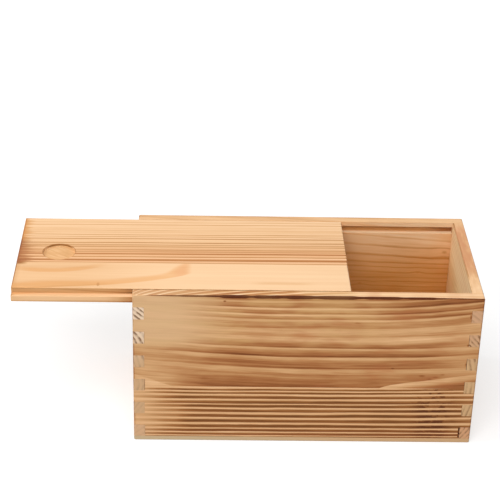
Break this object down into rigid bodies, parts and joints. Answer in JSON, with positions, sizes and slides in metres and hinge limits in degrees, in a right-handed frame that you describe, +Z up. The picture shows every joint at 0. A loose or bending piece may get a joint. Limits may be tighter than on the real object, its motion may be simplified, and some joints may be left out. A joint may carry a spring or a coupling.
{
  "type": "sliding lid wooden box",
  "caption": "Long open-topped wooden box with finger-jointed corners and a flat glued-up lid that slides in grooves along its long walls and has a round finger recess.",
  "frame": {"origin": "middle of the box's flat underside", "axes": "+Z up, +X along the box towards the high end wall that stops the lid, so that the lid opens towards -X, and -Y towards the front wall"},
  "size_m": [0.2689, 0.098, 0.1002],
  "materials": {
    "bottom_panel_wood": "raw thin panel, sanded",
    "front_lower_wood": "scorched and brushed, with straight dark lines",
    "front_upper_wood": "scorched and brushed, with wavy brown figure",
    "back_wood": "lightly scorched, sanded",
    "end_wood": "lightly scorched, sanded",
    "lid_front_wood": "pale, barely scorched, sanded",
    "lid_rear_wood": "scorched, with straight brown lines"
  },
  "bodies": {
    "box": {"bottom_panel": "bottom_panel_wood", "front_lower_board": "front_lower_wood", "front_upper_board": "front_upper_wood", "back_lower_board": "back_wood", "back_upper_board": "back_wood", "low_end_lower_board": "end_wood", "low_end_upper_board": "end_wood", "high_end_lower_board": "end_wood", "high_end_upper_board": "end_wood"},
    "lid": {"lid_front_strip": "lid_front_wood", "lid_rear_strip": "lid_rear_wood"}
  },
  "joints": [
    {"name": "lid_slide", "type": "slide", "parent": "box", "child": "lid", "axis": [-1, 0, 0], "range_m": [-0.0689, 0.1179]}
  ]
}
